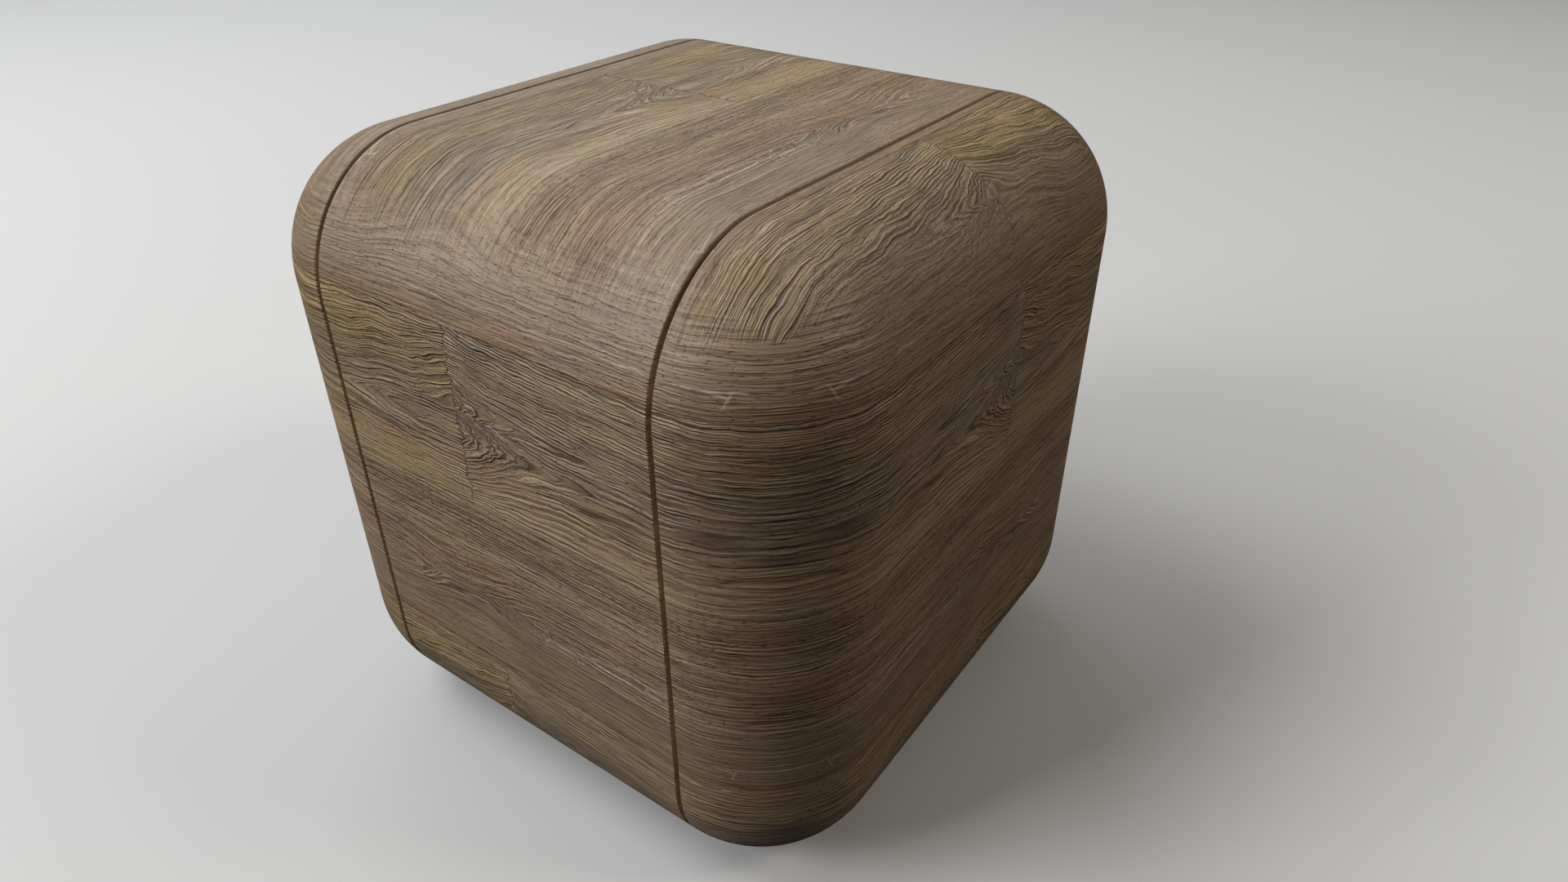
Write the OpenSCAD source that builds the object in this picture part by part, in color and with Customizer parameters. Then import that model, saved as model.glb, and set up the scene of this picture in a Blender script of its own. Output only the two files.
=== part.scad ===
// Solid wooden cube with rounded edges and two fine saw grooves.
// The cube stands on one flat face, with its centre over the origin and +Z up.
// The grooves run all the way round it, across the X axis.

/* [Block] */
// Side of the cube, from flat face to flat face
cube_side = 100; // [70:1:200]
// Radius of the round-over on every edge and corner
edge_round = 20; // [8:0.5:30]

/* [Grooves] */
// Width of each groove between its side walls
groove_w = 0.7; // [0.4:0.1:3]
// Depth of each groove below the surface
groove_depth = 1; // [0.6:0.1:5]
// Bevel that breaks the two lips of each groove
lip_bevel = 0.1; // [0.05:0.01:0.3]

/* [Hidden] */
// Facets on a full turn
$fn = 64;
// Straight run of an edge between the round-overs of its two ends
flat_run = cube_side - 2 * edge_round;
// Where a round-over starts, from the middle of the cube
round_start = flat_run / 2;
// Each groove lies on the line where an end's round-over starts
groove_x = round_start;
// How far the groove cutter stands proud of the surface
cut_over = 1;
// The two directions along an axis
SIDES = [-1, 1];

// A column along Z that reaches from face to face, and the four round edges beside it
module column_and_edges() {
    cube([flat_run, flat_run, cube_side], center = true);
    for (x = SIDES, y = SIDES) {
        translate([x * round_start, y * round_start, 0])
            cylinder(r = edge_round, h = flat_run, center = true);
    }
}

// Cube with a true round-over on its twelve edges and a ball corner at each end of them,
// centred on the origin.
module rounded_block() {
    column_and_edges();
    rotate([90, 0, 0])
        column_and_edges();
    rotate([0, 90, 0])
        column_and_edges();
    for (x = SIDES, y = SIDES, z = SIDES) {
        translate([x, y, z] * round_start)
            sphere(r = edge_round);
    }
}

// Section of a groove cutter. x is the distance from the centre of the round-over,
// so the wood's surface is at x = edge_round; y runs across the groove.
module groove_section() {
    bottom = edge_round - groove_depth;
    bevel_start = edge_round - lip_bevel;
    proud = edge_round + cut_over;
    half_w = groove_w / 2;
    half_mouth = half_w + lip_bevel;
    polygon([
        [bottom, -half_w],
        [bevel_start, -half_w],
        [edge_round, -half_mouth],
        [proud, -half_mouth],
        [proud, half_mouth],
        [edge_round, half_mouth],
        [bevel_start, half_w],
        [bottom, half_w],
    ]);
}

// Ring that cuts one groove round the cube, about the Z axis and centred on the origin:
// a straight pass along each of the four faces, and a quarter turn round each edge.
module groove_ring() {
    for (quarter = [0:3]) {
        rotate([0, 0, 90 * quarter])
            translate([round_start, round_start, 0]) {
                rotate_extrude(angle = 90)
                    groove_section();
                rotate([90, 0, 0])
                    linear_extrude(height = flat_run)
                        groove_section();
            }
    }
}

// The whole cube: one block with its two grooves
module cube_block() {
    color("#8a7760")
        translate([0, 0, cube_side / 2])
            difference() {
                rounded_block();
                for (x = SIDES) {
                    translate([x * groove_x, 0, 0])
                        rotate([0, 90, 0])
                            groove_ring();
                }
            }
}

cube_block();
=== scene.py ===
"""A solid cube of weathered oak with rounded edges and two fine saw grooves, in soft studio light.

Lengths are in metres unless a name says millimetres. The cube stands on the floor with its
centre over the origin; +Z is up, and the grooves cross the X axis."""

import math

import bmesh
import bpy
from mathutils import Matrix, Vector


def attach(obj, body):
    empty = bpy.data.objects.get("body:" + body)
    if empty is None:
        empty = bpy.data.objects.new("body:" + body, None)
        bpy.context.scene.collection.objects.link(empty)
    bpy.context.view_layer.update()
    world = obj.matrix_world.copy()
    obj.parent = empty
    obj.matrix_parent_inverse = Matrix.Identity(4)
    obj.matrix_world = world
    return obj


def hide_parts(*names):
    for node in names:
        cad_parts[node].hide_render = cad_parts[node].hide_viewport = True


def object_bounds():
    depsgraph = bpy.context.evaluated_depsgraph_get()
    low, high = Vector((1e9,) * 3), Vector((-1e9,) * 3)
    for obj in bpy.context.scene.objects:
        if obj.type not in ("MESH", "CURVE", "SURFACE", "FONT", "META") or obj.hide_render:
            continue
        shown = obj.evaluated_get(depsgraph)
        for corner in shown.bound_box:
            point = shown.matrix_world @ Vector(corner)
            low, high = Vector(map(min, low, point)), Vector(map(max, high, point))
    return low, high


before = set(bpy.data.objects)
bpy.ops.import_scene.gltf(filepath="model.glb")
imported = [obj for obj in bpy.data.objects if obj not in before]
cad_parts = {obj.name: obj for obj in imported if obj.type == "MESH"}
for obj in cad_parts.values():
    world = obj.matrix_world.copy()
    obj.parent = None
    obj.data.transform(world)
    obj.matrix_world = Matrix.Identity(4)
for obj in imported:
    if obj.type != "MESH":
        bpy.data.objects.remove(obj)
CAD_BOX = [list(corner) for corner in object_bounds()]
MM = 0.001

# ---------------------------------------------------------------- driving sizes

SIDE = CAD_BOX[1][0] - CAD_BOX[0][0]
HALF = SIDE / 2
EDGE_ROUND = 20 * MM
ROUND_START = HALF - EDGE_ROUND
GROOVE_W = 0.7 * MM
GROOVE_DEPTH = 1.0 * MM
LIP_BEVEL = 0.1 * MM

# ---------------------------------------------------------------- camera

CAMERA_AT = (0.0995, -0.1219, 0.1438)
CAMERA_TURN_DEG = 35.44
CAMERA_DOWN_DEG = 33.0
VIEW_HEIGHT_DEG = 45.0


def make_camera():
    """The photograph's view: both grooves on the left face, and the plain end on the right."""
    data = bpy.data.cameras.new("camera")
    data.sensor_fit = "VERTICAL"
    data.angle = math.radians(VIEW_HEIGHT_DEG)
    camera = bpy.data.objects.new("camera", data)
    camera.location = CAMERA_AT
    tilt = math.radians(90 - CAMERA_DOWN_DEG)
    camera.rotation_euler = (tilt, 0, math.radians(CAMERA_TURN_DEG))
    bpy.context.collection.objects.link(camera)
    bpy.context.scene.camera = camera


# ---------------------------------------------------------------- light and floor

FLOOR_SIZE = 6.0
FLOOR_GREY = 0.40
FLOOR_BOUNCE_GREY = 0.06
SKY_GREY = 0.56
SKY_LIGHT = 0.02
LAMP_DISTANCE = 1.2
COOL = (0.90, 0.98, 1.0)
WARM = (1.0, 0.915, 0.80)


def area_lamp(name, turn_deg, up_deg, size, watts, colour=(1.0, 1.0, 1.0)):
    """A square soft lamp aimed at the cube's middle. Its turn is counted from the front (-Y)
    towards the right (+X)."""
    turn, up = math.radians(turn_deg), math.radians(up_deg)
    way = Vector((math.sin(turn) * math.cos(up), -math.cos(turn) * math.cos(up), math.sin(up)))
    data = bpy.data.lights.new(name, "AREA")
    data.size = size
    data.energy = watts
    data.color = colour
    lamp = bpy.data.objects.new(name, data)
    lamp.location = Vector((0, 0, HALF)) + way * LAMP_DISTANCE
    lamp.rotation_euler = (-way).to_track_quat("-Z", "Y").to_euler()
    bpy.context.collection.objects.link(lamp)


def make_light():
    """Two lamps for the front, two for the sides, and two weak ones for the top and the back."""
    area_lamp("key_lamp", -60, 55, 0.6, 10.6)
    area_lamp("front_lamp", -33, 30, 0.5, 14.5)
    area_lamp("side_lamp", -90, 43, 0.3, 1.6)
    area_lamp("right_lamp", 118, 39, 0.35, 6.3, WARM)
    area_lamp("far_lamp", -125, 38, 0.7, 4.5, COOL)
    area_lamp("back_lamp", 180, 45, 0.6, 1.6)


def camera_sees(tree, seen, otherwise):
    """A value that is one number for the camera and another for all other rays."""
    path = tree.nodes.new("ShaderNodeLightPath")
    mix = tree.nodes.new("ShaderNodeMix")
    tree.links.new(path.outputs["Is Camera Ray"], mix.inputs["Factor"])
    mix.inputs["A"].default_value = otherwise
    mix.inputs["B"].default_value = seen
    return mix.outputs["Result"]


def make_world():
    """A pale grey backdrop for the camera, and a very faint light from all sides."""
    world = bpy.data.worlds.new("studio")
    world.use_nodes = True
    tree = world.node_tree
    background = tree.nodes["Background"]
    background.inputs["Color"].default_value = (1, 1, 1, 1)
    strength = camera_sees(tree, SKY_GREY, SKY_LIGHT)
    tree.links.new(strength, background.inputs["Strength"])
    bpy.context.scene.world = world


def make_floor():
    """A plain pale floor. It is darker for all other rays, so it throws little light back."""
    half = FLOOR_SIZE / 2
    mesh = bpy.data.meshes.new("floor")
    corners = [(-half, -half, 0), (half, -half, 0), (half, half, 0), (-half, half, 0)]
    mesh.from_pydata(corners, [], [(0, 1, 2, 3)])
    floor = bpy.data.objects.new("floor", mesh)
    bpy.context.collection.objects.link(floor)
    material = bpy.data.materials.new("floor")
    material.use_nodes = True
    tree = material.node_tree
    shader = tree.nodes["Principled BSDF"]
    shader.inputs["Roughness"].default_value = 0.9
    shader.inputs["Specular IOR Level"].default_value = 0.0
    grey = camera_sees(tree, FLOOR_GREY, FLOOR_BOUNCE_GREY)
    tree.links.new(grey, shader.inputs["Base Color"])
    mesh.materials.append(material)


# ---------------------------------------------------------------- the block's mesh

STEP = 1.0 * MM
EDGE_STEPS = 30
WELD_WITHIN = 1e-6
SHARP_FROM_DEG = 40


def groove_stations():
    """Places across one groove: distance from its centre plane, and depth below the surface."""
    wall = GROOVE_W / 2
    mouth = wall + LIP_BEVEL
    return [(-mouth, 0), (-wall, LIP_BEVEL), (-wall, GROOVE_DEPTH), (wall, GROOVE_DEPTH),
            (wall, LIP_BEVEL), (mouth, 0)]


def stations():
    """The block's sections from end to end: place along X, and how far the outline stands out
    round the square of the flat end face."""
    mouth = GROOVE_W / 2 + LIP_BEVEL
    inner = ROUND_START - mouth
    count = math.ceil(inner / STEP)
    half = [(inner * i / count, EDGE_ROUND) for i in range(count)]
    half += [(ROUND_START + across, EDGE_ROUND - depth) for across, depth in groove_stations()]
    first = math.asin(mouth / EDGE_ROUND)
    for i in range(1, EDGE_STEPS + 1):
        turn = first + (math.pi / 2 - first) * i / EDGE_STEPS
        half.append((ROUND_START + EDGE_ROUND * math.sin(turn), EDGE_ROUND * math.cos(turn)))
    return [(-x, reach) for x, reach in reversed(half[1:])] + half


def outline(x, reach):
    """One closed outline of the block at x: the end face's square, rounded outwards by reach."""
    points = []
    flat_steps = math.ceil(2 * ROUND_START / STEP)
    for quarter in range(4):
        turn = quarter * math.pi / 2
        cos, sin = round(math.cos(turn)), round(math.sin(turn))
        side = []
        for i in range(EDGE_STEPS):
            angle = math.pi / 2 * i / EDGE_STEPS
            side.append((ROUND_START + reach * math.cos(angle),
                         ROUND_START + reach * math.sin(angle)))
        for i in range(flat_steps):
            side.append((ROUND_START - 2 * ROUND_START * i / flat_steps, ROUND_START + reach))
        points += [(x, y * cos - z * sin, HALF + y * sin + z * cos) for y, z in side]
    return points


def make_block():
    """The cube as one closed mesh, lofted from outline to outline along X."""
    verts, faces = [], []
    rings = [outline(x, reach) for x, reach in stations()]
    around = len(rings[0])
    for ring in rings:
        verts += ring
    for i in range(len(rings) - 1):
        for j in range(around):
            k = (j + 1) % around
            here, there = i * around, (i + 1) * around
            faces.append((here + j, here + k, there + k, there + j))
    cells = math.ceil(2 * ROUND_START / STEP)
    for end in (-1, 1):
        start = len(verts)
        for i in range(cells + 1):
            for j in range(cells + 1):
                y = ROUND_START * (2 * i / cells - 1)
                z = ROUND_START * (2 * j / cells - 1)
                verts.append((end * HALF, y, HALF + z))
        for i in range(cells):
            for j in range(cells):
                low = start + i * (cells + 1) + j
                high = low + cells + 1
                faces.append((low, low + 1, high + 1, high))
    mesh = bpy.data.meshes.new("cube_block_wood")
    mesh.from_pydata(verts, [], faces)
    join_and_turn_out(mesh)
    mesh.shade_smooth()
    mesh.set_sharp_from_angle(angle=math.radians(SHARP_FROM_DEG))
    block = bpy.data.objects.new("cube_block_wood", mesh)
    bpy.context.collection.objects.link(block)
    return block


def join_and_turn_out(mesh):
    """Joins points that fall together, and turns every face outwards."""
    work = bmesh.new()
    work.from_mesh(mesh)
    bmesh.ops.remove_doubles(work, verts=work.verts, dist=WELD_WITHIN)
    bmesh.ops.recalc_face_normals(work, faces=work.faces)
    work.to_mesh(mesh)
    work.free()


# ---------------------------------------------------------------- fields: arithmetic on nodes

class Field:
    """One output of a shader node. Arithmetic with it adds Math nodes to the same tree."""

    def __init__(self, socket):
        self.socket = socket

    def __add__(self, other):
        return maths("ADD", self, other)

    def __sub__(self, other):
        return maths("SUBTRACT", self, other)

    def __mul__(self, other):
        return maths("MULTIPLY", self, other)

    def __truediv__(self, other):
        return maths("DIVIDE", self, other)

    def __pow__(self, other):
        return maths("POWER", self, other)

    def __radd__(self, other):
        return maths("ADD", other, self)

    def __rsub__(self, other):
        return maths("SUBTRACT", other, self)

    def __rmul__(self, other):
        return maths("MULTIPLY", other, self)

    def __abs__(self):
        return maths("ABSOLUTE", self)


def plug(node, name, value):
    """Feeds an input of a node with a field, or sets it to a plain value."""
    if isinstance(value, Field):
        node.id_data.links.new(value.socket, node.inputs[name])
    else:
        node.inputs[name].default_value = value


def new_node(kind, *values):
    """A new node in the tree of the first field among the values."""
    fields = [value for value in values if isinstance(value, Field)]
    return fields[0].socket.id_data.nodes.new(kind)


def maths(operation, *values):
    """The result of one Math node."""
    node = new_node("ShaderNodeMath", *values)
    node.operation = operation
    for index, value in enumerate(values):
        plug(node, index, value)
    return Field(node.outputs[0])


def rise(value, start, end):
    """0 before start, 1 past end and smooth between; it falls where start lies past end."""
    node = new_node("ShaderNodeMapRange", value)
    node.interpolation_type = "SMOOTHSTEP"
    plug(node, "Value", value)
    plug(node, "From Min", start)
    plug(node, "From Max", end)
    return Field(node.outputs["Result"])


def ridge(value, centre, half_width):
    """1 at the centre, falling smoothly to 0 at half_width on both sides."""
    return rise(abs(value - centre), half_width, 0.0)


def band(value, start, end, soft):
    """1 between start and end, with soft edges."""
    return rise(value, start - soft, start + soft) * rise(value, end + soft, end - soft)


def blend(factor, first, second):
    """From the first number to the second as the factor goes from 0 to 1."""
    node = new_node("ShaderNodeMix", factor, first, second)
    node.data_type = "FLOAT"
    plug(node, 0, factor)
    plug(node, 2, first)
    plug(node, 3, second)
    return Field(node.outputs[0])


def tint(factor, first, second, way="MIX"):
    """From the first colour to the second, mixed in one of Blender's blending ways."""
    node = new_node("ShaderNodeMix", factor, first, second)
    node.data_type = "RGBA"
    node.blend_type = way
    plug(node, 0, factor)
    plug(node, 6, first)
    plug(node, 7, second)
    return Field(node.outputs[2])


def scaled(vector, factor):
    """A colour or vector made brighter or longer by a factor."""
    node = new_node("ShaderNodeVectorMath", vector, factor)
    node.operation = "SCALE"
    plug(node, 0, vector)
    plug(node, "Scale", factor)
    return Field(node.outputs[0])


def point(x, y, z=0.0):
    """A place made of three numbers."""
    node = new_node("ShaderNodeCombineXYZ", x, y, z)
    for index, value in enumerate((x, y, z)):
        plug(node, index, value)
    return Field(node.outputs[0])


def noise_group():
    """Node group of smooth noise from about -1 to 1 at a place, its lumps about 1 across."""
    group = bpy.data.node_groups.new("grain_noise", "ShaderNodeTree")
    for name in ("X", "Y", "Z", "Detail", "Roughness"):
        group.interface.new_socket(name, in_out="INPUT", socket_type="NodeSocketFloat")
    group.interface.new_socket("Result", in_out="OUTPUT", socket_type="NodeSocketFloat")
    into = group.nodes.new("NodeGroupInput")
    x, y, z, detail, roughness = [Field(socket) for socket in into.outputs[:5]]
    place = point(x, y, z)
    node = new_node("ShaderNodeTexNoise", x)
    plug(node, "Vector", place)
    plug(node, "Scale", 1.0)
    plug(node, "Detail", detail)
    plug(node, "Roughness", roughness)
    result = Field(node.outputs["Fac"]) * 3.0 - 1.5
    out = group.nodes.new("NodeGroupOutput")
    plug(out, "Result", result)
    return group


def grain_noise(x, y, z=0.0, detail=0.0, roughness=0.5):
    """Smooth noise from about -1 to 1 at a place; another z gives another pattern."""
    node = new_node("ShaderNodeGroup", x, y)
    node.node_tree = bpy.data.node_groups.get("grain_noise") or noise_group()
    for name, value in zip(("X", "Y", "Z", "Detail", "Roughness"), (x, y, z, detail, roughness)):
        plug(node, name, value)
    return Field(node.outputs["Result"])


def curve(value, points):
    """A number read from a smooth curve drawn through the points."""
    xs, ys = [x for x, _ in points], [y for _, y in points]
    low, high = min(ys), max(ys)
    part = (value - xs[0]) * (1 / (xs[-1] - xs[0]))
    node = new_node("ShaderNodeFloatCurve", part)
    drawn = node.mapping.curves[0].points
    while len(drawn) < len(points):
        drawn.new(0.5, 0.5)
    for dot, (x, y) in zip(drawn, points):
        dot.location = ((x - xs[0]) / (xs[-1] - xs[0]), (y - low) / (high - low))
        dot.handle_type = "AUTO_CLAMPED"
    node.mapping.update()
    plug(node, "Value", part)
    return Field(node.outputs[0]) * (high - low) + low


def tones_at(value, tones):
    """A colour read from a list of places and tones, in order; the list covers one repeat."""
    part = value * (1 / REPEAT)
    node = new_node("ShaderNodeValToRGB", part)
    stops = node.color_ramp.elements
    while len(stops) < len(tones):
        stops.new(0.5)
    for stop, (place, tone) in zip(stops, tones):
        stop.position = place / REPEAT
        stop.color = tone
    plug(node, "Fac", part)
    return Field(node.outputs["Color"])


# ---------------------------------------------------------------- wood (lengths in millimetres)

# The pattern is two rows of planks, one above the other. It repeats across every REPEAT and
# along every two REPEATs, where two planks of the wide row meet end to end at s = 0.
REPEAT = 57.86
WIDE_BOARD = 27.43

# Where the pattern lies on the cube: the joint at s = 0 left of the front's middle, the wide row's
# lower edge above the cube's middle, the slide of the top's pattern, and of the hidden sides'
ALONG_SHIFT = 4.286
SEAM_HEIGHT = 6.286
TOP_SHIFT = 7.85
BACK_SHIFT = 23.0
LEFT_END_FROM = -30.0

# How sharply two sides' patterns change over on a round edge; 1 is the softest
CROSS_FADE = 4.0

# Heights of the raised lines, the fibres and the sunken pores
LINE_RELIEF = 0.1
GRIT_RELIEF = 0.02
PORE_RELIEF = 0.1

# Depths below the surface between which the wood's tone gives way to the saw cut's painted tone,
# which is painted light against the cut's shade
CUT_FROM = 0.02
CUT_TO = 0.12

# Heights above the cube's middle between which the saw cuts' painted light turns to painted shade,
# darker on the top where their walls are lit
CUT_SHADE_PAINTED_FROM = 34.0
CUT_SHADE_PAINTED_TO = 49.0

WOOD_ROUGHNESS = 0.5
WOOD_SHINE = 0.28

# Tones, linear: the planks, dark and light marks, the saw cuts' painted light and painted shade,
# and tints to multiply with
PALE = (0.196, 0.138, 0.081, 1)
TAN = (0.175, 0.113, 0.062, 1)
OLIVE = (0.163, 0.114, 0.057, 1)
GREY = (0.143, 0.099, 0.061, 1)
BROWN = (0.140, 0.086, 0.046, 1)
RUST = (0.154, 0.094, 0.055, 1)
SLATE = (0.115, 0.090, 0.064, 1)
DARK = (0.022, 0.013, 0.007, 1)
SAGE = (0.160, 0.120, 0.078, 1)
CHALK = (0.34, 0.30, 0.24, 1)
WORN = (0.225, 0.178, 0.125, 1)
CUT_PAINTED_LIGHT = (0.38, 0.27, 0.175, 1)
CUT_PAINTED_SHADE = (0.19, 0.135, 0.09, 1)
REDDER = (1.08, 0.96, 0.96, 1)
YELLOWER = (0.97, 1.02, 0.87, 1)
GOLDEN = (1.02, 1.0, 0.89, 1)

# Tone by height above the wide row's lower edge; the narrow row begins at WIDE_BOARD
TONES = [(0.0, PALE), (3.0, PALE), (6.5, TAN), (10.5, GREY), (17.0, GREY), (21.0, OLIVE),
         (27.2, TAN), (27.6, BROWN), (30.5, GREY), (38.0, GREY), (42.0, RUST), (45.5, RUST),
         (48.0, TAN), (50.0, PALE), (51.8, BROWN), (53.5, TAN), (55.3, BROWN), (57.5, PALE)]

# Dark streaks of the narrow row: start and end along it, distance below the wide row,
# half width, depth
STREAKS = [(-60.0, 60.0, 0.0, 0.35, 1.0), (-24.9, 0.0, 1.64, 0.30, 0.8),
           (3.2, 30.4, 5.9, 0.28, 0.8), (-40.0, -5.9, 8.2, 0.35, 0.8),
           (12.5, 20.7, 8.6, 0.25, 0.8), (2.0, 11.4, 25.8, 0.3, 0.6)]


def rounded(value, centre, radius):
    """Distance from the centre, rounded off close to it."""
    return maths("SQRT", (value - centre) ** 2.0 + radius ** 2) - radius


def figure_of_right_plank(s, a):
    """Ring count over the wide plank at the right: two rows of nested arrowheads."""
    low_along = curve(s, [(0, 0), (5, 5), (9, 8), (14, 9.8), (24, 10.8), (REPEAT, 11.2)])
    low_across = curve(a, [(0, 0), (2, 0.15), (4, 0.4), (8, 0.76), (11.4, 1), (WIDE_BOARD, 1)])
    low = rounded(a, 11.4, 1.4) * 2.1 + low_along * low_across
    high_along = curve(s, [(0, 0), (6, 4), (12, 6), (20, 7), (34, 8), (REPEAT, 9)])
    high_across = curve(a, [(0, 1), (16, 1), (19, 0.82), (21, 0.67), (24, 0.45), (WIDE_BOARD, 0.3)])
    high = rounded(a + s * 0.02, 16.2, 0.8) * 2.5 + high_along * high_across + 5.6
    return maths("SMOOTH_MIN", low, high, 0.5)


def figure_of_left_plank(s, a):
    """Ring count over the wide plank at the left: an eye, and lines that climb to its right."""
    drop = curve(s, [(-REPEAT, 4.4), (-26, 4), (-12, 0.3), (-7, 0), (0, 0)])
    drop_share = curve(a, [(0, 0), (4, 0.05), (8, 0.4), (12, 1), (20, 0.95), (24, 0.5),
                           (WIDE_BOARD, 0.1)])
    climb = curve(s, [(-REPEAT, 0), (-10, 0), (-6, -1.3), (0, -4.5)])
    climb_share = curve(a, [(0, 0), (14, 0), (18, 1), (22, 1), (25, 0.6), (WIDE_BOARD, 0)])
    return rounded(a, 12.0, 0.6) * 1.8 + drop * drop_share + climb * climb_share + 30.0


def figure_of_narrow_row(s, q):
    """Ring count over the narrow row: straight lines, parted by two slim eyes end to end."""
    lift = curve(s, [(-REPEAT, 0), (-24, 0), (8, 1.6), (REPEAT, 1.6)])
    place = q + lift * ridge(q, 16.5, 11.0)
    rings = rounded(place, 18.6, 0.3) * 1.6
    closing = curve(s, [(-REPEAT, 0.4), (-26, 0), (-14, 3), (-6, 4.8), (0, 3.9), (6, 1.6),
                        (12, 0.5), (30, 0), (REPEAT, 0)])
    share = curve(q, [(0, 0), (6, 0), (11, 0.4), (14, 0.8), (18, 1), (20, 0.7), (25, 0.3),
                      (REPEAT - WIDE_BOARD, 0)])
    return rings + closing * share + 60.0


def streaks(s, q):
    """How deep a dark streak of the narrow row is at one place."""
    total = 0.0
    for start, end, below, half_width, depth in STREAKS:
        total = total + band(s, start, end, 0.8) * ridge(q, below, half_width) * depth
    return total


def chips(s, r, wobble):
    """Dark chips in the left plank, below its eye."""
    near_eye = band(s, -10.4, -7.6, 0.3) * ridge(r + s * 0.15 + wobble * 0.4, 7.9, 0.35)
    beside = band(s, -4.2, -0.7, 0.3) * ridge(r, 9.5, 0.25)
    above = band(s, -18.4, -16.2, 0.5) * ridge(r - s * 0.25, 22.6, 0.3)
    return near_eye + beside * 0.6 + above * 0.6


def loop(s, q, tip):
    """Light outline of a slim loop in the narrow row, its tip pointing left."""
    half_width = curve(s, [(tip, 0), (tip + 1, 0.45), (tip + 3, 0.7), (tip + 12, 0.8)])
    line = ridge(abs(q - 18.1) - half_width, 0.0, 0.35)
    return line * rise(s, tip - 0.3, tip) * rise(s, tip + 14.0, tip + 5.0)


def scratches(s, r, q, wobble):
    """How far the light scratches of the right plank's corner cover the wood."""
    broken = rise(wobble, -0.5, 0.1)
    long_one = band(s, 29.0, 57.0, 1.0) * ridge(q + wobble * 0.2, 27.1, 0.22)
    fork = band(q, 27.2, 28.9, 0.3) * ridge(s + q * 0.35, 52.8, 0.25)
    chip = band(s, 40.2, 43.0, 0.5) * ridge(q - s * 0.22, 18.2, 0.25)
    dotted = band(s, 33.0, 44.0, 0.5) * ridge(r, 26.2, 0.3) * rise(wobble, 0.0, 0.3)
    return maths("MINIMUM", long_one * broken + fork + chip + dotted, 1.0)


def ring_count(u, v, s, r, q, wide, bend, ripple):
    """Year rings counted at a place, by the figure of the plank that it lies in."""
    right_end = rise(s + ripple * 0.6, -0.1, 0.1)
    scribble = band(s, 1.0, 13.0, 1.5) * band(r, 9.0, 18.5, 1.5)
    shake = grain_noise(u * 0.6, v * 1.3, 3.0) * scribble
    across = r + bend
    right = figure_of_right_plank(s + shake * 0.8, across)
    left = figure_of_left_plank(s, across)
    narrow = figure_of_narrow_row(s, q + bend * 0.6)
    return blend(wide, narrow, blend(right_end, left, right))


def ring_lines(u, v, rings, s, r, q, wide, patch):
    """Lines that follow the rings, from about -1 to 1: the rings, finer lines and dark hairs."""
    wave = maths("SINE", rings * math.tau)
    strength = grain_noise(rings * 0.55, u * 0.1, v * 0.05)
    fine = grain_noise(rings * 1.7, u * 0.07, v * 0.1, detail=1.0, roughness=0.9)
    hair = grain_noise(rings * 0.9, u * 0.05, v * 0.08 + 40.0)
    hair = rise(abs(hair), 0.12, 0.0)
    arrows = band(s, -9.0, 24.0, 6.0) * wide + ridge(s, 5.0, 10.0) * ridge(q, 16.5, 4.0)
    carved = curve(r, [(0, 0.75), (4, 0.8), (9, 1.3), (27.3, 1.3), (27.6, 0.6), (36.0, 0.7),
                       (40, 1.2), (50, 1.2), (REPEAT, 0.85)]) - patch * 0.7
    lines = wave * (arrows * 0.36 + 0.1 + strength * 0.2) + fine * 1.4 - hair * 0.6
    return lines * carved


def plank_colour(u, v, s, r, q, wide, bend, patch):
    """Tone of the planks, with their hues, and the patches that differ from them."""
    colour = tones_at(r + bend, TONES)
    hue = grain_noise(u * 0.1, v * 0.9, 21.0, detail=3.0, roughness=0.8)
    colour = tint(rise(hue, 0.0, 0.6), colour, tint(1.0, colour, REDDER, "MULTIPLY"))
    colour = tint(rise(hue, 0.0, -0.6), colour, tint(1.0, colour, YELLOWER, "MULTIPLY"))
    plate = band(s, 1.7, 8.3, 0.1) * band(r, 25.1, 26.7, 0.1)
    inside = band(s, 1.9, 8.1, 0.1) * band(r, 25.3, 26.5, 0.1)
    colour = tint(plate * 0.9 - inside * 0.5, colour, SLATE)
    colour = tint(rise(s, 0.5, -0.5) * wide, colour, tint(1.0, colour, GOLDEN, "MULTIPLY"))
    plank_end = band(s, -1.6, 0.3, 0.3) * band(r, 16.0, 27.4, 1.0)
    colour = tint(plank_end * 0.4, colour, PALE)
    colour = tint(patch * 0.6, colour, SAGE)
    eye = ridge(s, -8.6, 4.6) * ridge(r, 12.2, 2.2)
    colour = tint(eye * 0.7, colour, SLATE)
    bluish = band(s, 17.0, 26.0, 2.0) * ridge(q, 29.3, 1.3)
    return tint(bluish * 0.6, colour, SLATE)


def light_outlines(u, v, s, q):
    """How far the light outlines of the narrow row's loops and squiggles cover the wood."""
    squiggles = rise(abs(grain_noise(u * 0.7, v * 0.5, 61.0)), 0.2, 0.0)
    squiggles = squiggles * band(s, 8.0, 19.0, 1.0) * band(q, 16.8, 20.6, 0.8)
    return loop(s, q, 19.8) + loop(s, q, 29.8) + squiggles


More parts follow.
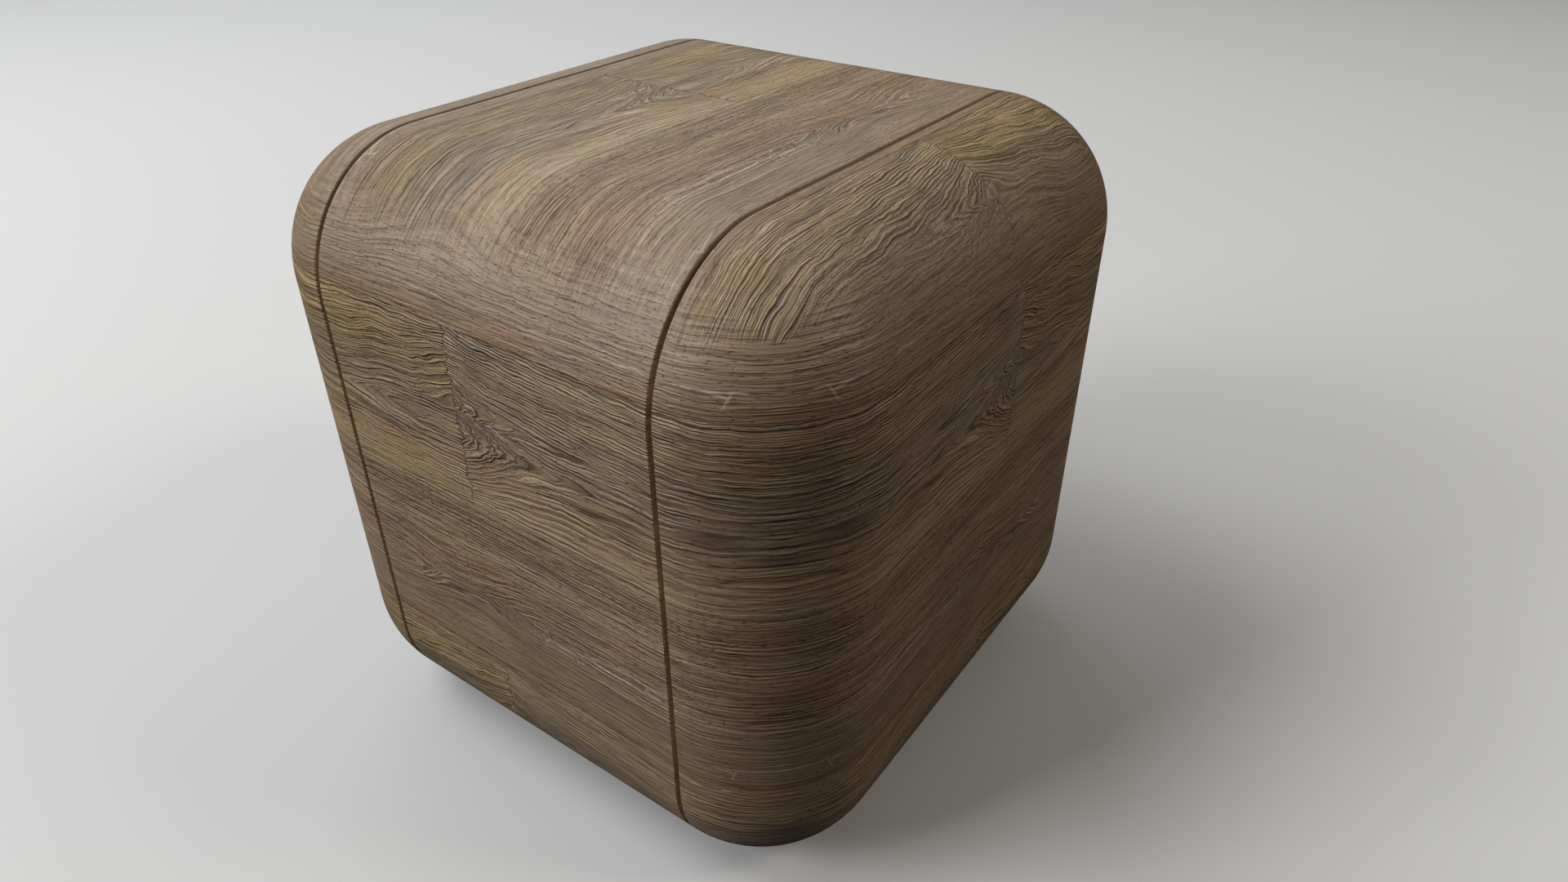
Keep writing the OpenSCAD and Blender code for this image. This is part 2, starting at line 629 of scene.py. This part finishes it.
def wood_grain(u, v):
    """Colour and height (mm) of the wood at a place along and across the boards."""
    # s runs along the planks from their joint; r is the height above the wide row's lower edge,
    # and q the distance below the next wide row
    wander = grain_noise(u * 0.18, v * 0.3)
    ripple = grain_noise(u * 0.5, v * 0.9, 7.0)
    bend = wander * 0.3 + ripple * 0.12
    s = maths("FLOORED_MODULO", u + (ALONG_SHIFT + REPEAT), REPEAT * 2) - REPEAT
    r = maths("FLOORED_MODULO", v - SEAM_HEIGHT, REPEAT)
    q = REPEAT - r
    wide = rise(r, WIDE_BOARD + 0.05, WIDE_BOARD - 0.05)
    patch = band(s, -4.6, -0.5, 0.5) * band(r, 9.9, 13.5, 0.5)

    # lines along the rings, fibres and pores make the relief
    rings = ring_count(u, v, s, r, q, wide, bend, ripple)
    lines = ring_lines(u, v, rings, s, r, q, wide, patch)
    grit = grain_noise(u * 0.3, v * 4.2, 11.0, detail=1.0, roughness=0.8)
    pore_rows = ridge(q, 3.9, 0.9)
    pores = grain_noise(u * 1.1, v * 6.0, 5.0) + pore_rows * 0.4 - rise(q, 18.0, 21.0) * 0.12
    pores = rise(pores, 0.5, 0.7)
    height = lines * LINE_RELIEF + grit * GRIT_RELIEF - pores * PORE_RELIEF

    # the same lines lighten and darken the colour, with streaks and seams that have no relief
    slow = grain_noise(rings * 0.3, u * 0.05, v * 0.08, detail=1.0)
    long_streaks = grain_noise(u * 0.02, v * 1.9, 31.0, detail=3.0, roughness=0.9)
    seam = ridge(r, WIDE_BOARD, 0.3) * 0.5 + ridge(r, 0.0, 0.35)
    dark_lines = streaks(s, q) * 1.3 + seam * 0.7 + chips(s, r, ripple)
    dark_lines = dark_lines + rise(long_streaks, -0.35, -0.75) * (0.45 - wide * 0.3)
    shade = lines * 0.42 + grit * 0.3 + slow * 0.1 + long_streaks * (0.2 - wide * 0.12)
    light = rise(shade, 0.0, 0.5)

    colour = plank_colour(u, v, s, r, q, wide, bend, patch)
    colour = tint(light_outlines(u, v, s, q) * 0.5, colour, CHALK)
    colour = tint(light * 0.3, colour, WORN)
    colour = scaled(colour, maths("MAXIMUM", shade * 1.1 - light * 0.25 + 1.09, 0.45))
    colour = tint(pores * 0.75 + dark_lines * 0.5, colour, DARK)
    colour = tint(scratches(s, r, q, ripple) * 0.5, colour, CHALK)
    return colour, height


def wood_tile():
    """Node group with the wood at a place along and across the boards."""
    group = bpy.data.node_groups.new("wood_tile", "ShaderNodeTree")
    ends = group.interface
    for name in ("Along", "Across"):
        ends.new_socket(name, in_out="INPUT", socket_type="NodeSocketFloat")
    ends.new_socket("Color", in_out="OUTPUT", socket_type="NodeSocketColor")
    ends.new_socket("Height", in_out="OUTPUT", socket_type="NodeSocketFloat")
    into = group.nodes.new("NodeGroupInput")
    colour, height = wood_grain(Field(into.outputs["Along"]), Field(into.outputs["Across"]))
    out = group.nodes.new("NodeGroupOutput")
    plug(out, "Color", colour)
    plug(out, "Height", height)
    return group


def tile_at(group, along, across):
    """Colour and height of the wood at a place, from the node group."""
    node = new_node("ShaderNodeGroup", along)
    node.node_tree = group
    plug(node, "Along", along)
    plug(node, "Across", across)
    return Field(node.outputs["Color"]), Field(node.outputs["Height"])


def wood_material():
    """The pattern laid on the cube from six sides; two sides cross-fade on the round edges."""
    material = bpy.data.materials.new("weathered_oak")
    material.use_nodes = True
    tree = material.node_tree
    shader = tree.nodes["Principled BSDF"]
    where = tree.nodes.new("ShaderNodeTexCoord")
    split = tree.nodes.new("ShaderNodeSeparateXYZ")
    tree.links.new(where.outputs["Object"], split.inputs[0])
    x = Field(split.outputs[0]) * (1 / MM)
    y = Field(split.outputs[1]) * (1 / MM)
    z = Field(split.outputs[2]) * (1 / MM) - HALF / MM

    # how far the place stands out past the flat square, along each axis
    out_x, out_y, out_z = [maths("MAXIMUM", abs(c) - ROUND_START / MM, 0.0) for c in (x, y, z)]
    along_y = x + maths("GREATER_THAN", y, 0.0) * BACK_SHIFT
    along_x = maths("GREATER_THAN", LEFT_END_FROM, x) * BACK_SHIFT - y
    across_top = TOP_SHIFT - x

    # the nearest two sides: the place's along and across for each
    x_wins = maths("GREATER_THAN", out_x, out_y)
    more = maths("MAXIMUM", out_x, out_y)
    less = maths("MINIMUM", out_x, out_y)
    top_first = maths("GREATER_THAN", out_z, more)
    top_shows = maths("GREATER_THAN", out_z, less)
    along_more = blend(x_wins, along_y, along_x)
    along_less = blend(x_wins, along_x, along_y)
    first_along = blend(top_first, along_more, y * -1.0)
    first_across = blend(top_first, z, across_top)
    second_along = blend(top_first, blend(top_shows, along_less, y * -1.0), along_more)
    second_across = blend(top_first, blend(top_shows, z, across_top), z)
    least = maths("MINIMUM", less, out_z)
    most = maths("MAXIMUM", more, out_z)
    middle = out_x + out_y + out_z - least - most
    fade_most = (most - least) ** CROSS_FADE
    fade_middle = (middle - least) ** CROSS_FADE
    share = fade_middle / (fade_most + fade_middle + 1e-6)

    group = wood_tile()
    first = tile_at(group, first_along, first_across)
    second = tile_at(group, second_along, second_across)
    colour = tint(share, first[0], second[0])
    height = blend(share, first[1], second[1])

    reach = maths("SQRT", out_x ** 2.0 + out_y ** 2.0 + out_z ** 2.0)
    in_groove = rise(reach, EDGE_ROUND / MM - CUT_FROM, EDGE_ROUND / MM - CUT_TO)
    # Saw cuts: painted light lifts their shaded walls, and painted shade darkens them towards the
    # top, where the light falls on them
    cut_painted_light_and_shade = tint(rise(z, CUT_SHADE_PAINTED_FROM, CUT_SHADE_PAINTED_TO), CUT_PAINTED_LIGHT, CUT_PAINTED_SHADE)
    colour = tint(in_groove, colour, cut_painted_light_and_shade)
    bump = tree.nodes.new("ShaderNodeBump")
    plug(bump, "Height", height)
    plug(bump, "Distance", MM)
    plug(bump, "Strength", 1.0)
    tree.links.new(bump.outputs["Normal"], shader.inputs["Normal"])
    plug(shader, "Base Color", colour)
    plug(shader, "Roughness", WOOD_ROUGHNESS)
    plug(shader, "Specular IOR Level", WOOD_SHINE)
    return material


make_camera()
make_world()
make_light()
make_floor()
block = make_block()
block.data.materials.append(wood_material())
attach(block, "root")
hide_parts("cube_block")
bpy.context.scene.view_settings.view_transform = "Standard"
